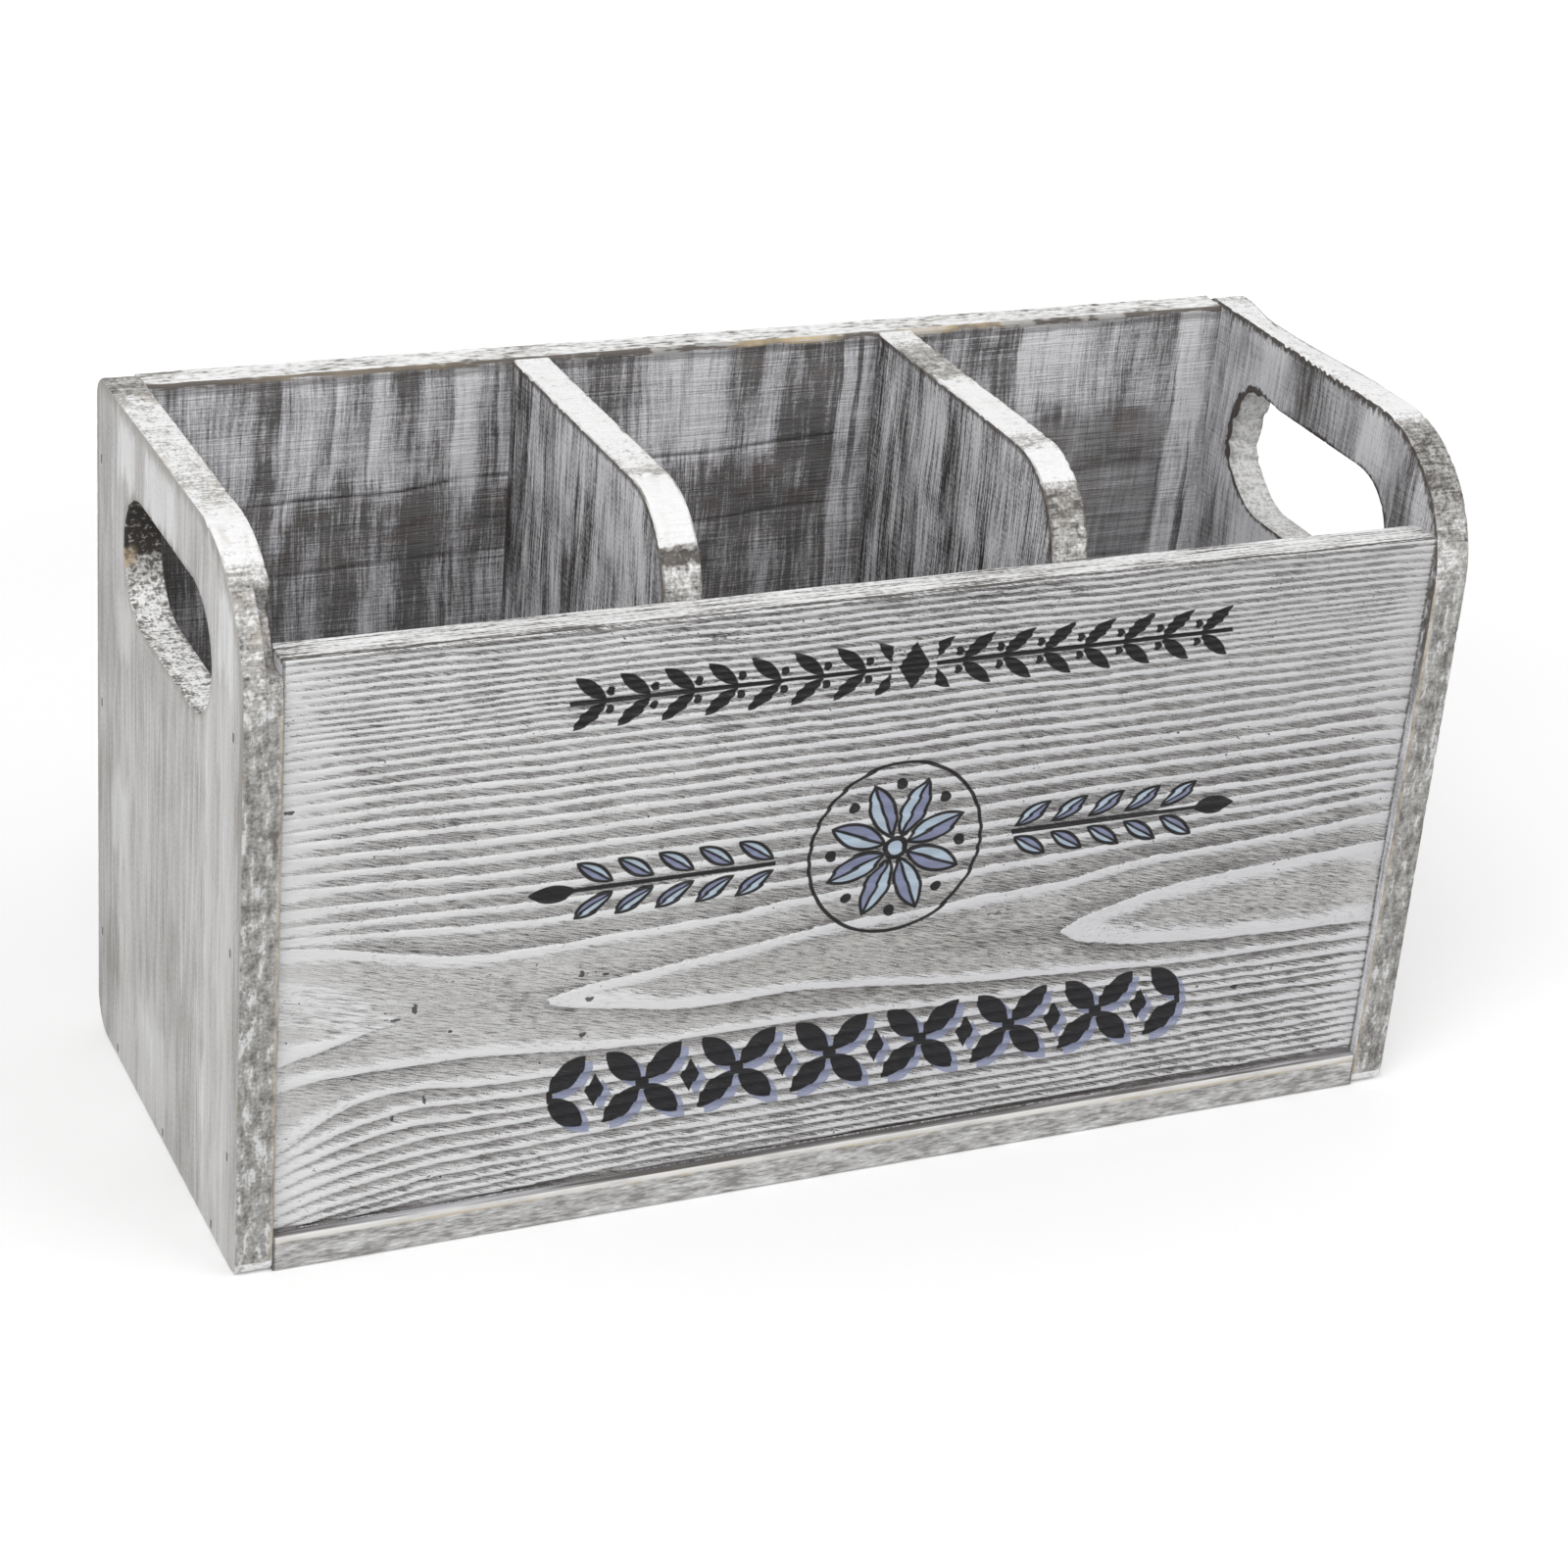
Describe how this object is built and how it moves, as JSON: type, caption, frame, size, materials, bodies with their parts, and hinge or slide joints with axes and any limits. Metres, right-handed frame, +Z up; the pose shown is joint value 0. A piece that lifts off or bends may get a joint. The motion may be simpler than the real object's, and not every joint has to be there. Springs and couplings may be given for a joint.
{
  "type": "cutlery box",
  "caption": "Open wooden box with upright bays for standing cutlery, rounded ends with slotted hand holes, a low front and a taller back.",
  "frame": {"origin": "middle of the footprint, on the surface that the box stands on", "axes": "+X along the front to the right, +Y to the rear, so that the low front looks along -Y, +Z up"},
  "size_m": [0.32, 0.126, 0.182],
  "materials": {
    "end_wood": "thin white wash over grey stained softwood, streaked along the upright grain, bare wood on sanded arrises",
    "bottom_wood": "grey stained softwood with patches of white wash",
    "front_wood": "wire brushed softwood, raised grain dry brushed white over grey, with a printed ornament",
    "back_wood": "dark grey stained softwood with upright white dry brush strokes",
    "divider_wood": "dark grey stained softwood with upright white streaks and whiter sawn edges",
    "nail_steel": "dull galvanised wire"
  },
  "bodies": {
    "root": {"left_end_board": "end_wood", "right_end_board": "end_wood", "bottom_board": "bottom_wood", "front_board": "front_wood", "back_board": "back_wood", "left_divider": "divider_wood", "right_divider": "divider_wood", "left_end_bottom_nails": "nail_steel", "left_end_front_nails": "nail_steel", "left_end_back_nails": "nail_steel", "right_end_bottom_nails": "nail_steel", "right_end_front_nails": "nail_steel", "right_end_back_nails": "nail_steel", "left_divider_back_nails": "nail_steel", "left_divider_bottom_nails": "nail_steel", "right_divider_back_nails": "nail_steel", "right_divider_bottom_nails": "nail_steel"}
  },
  "joints": []
}
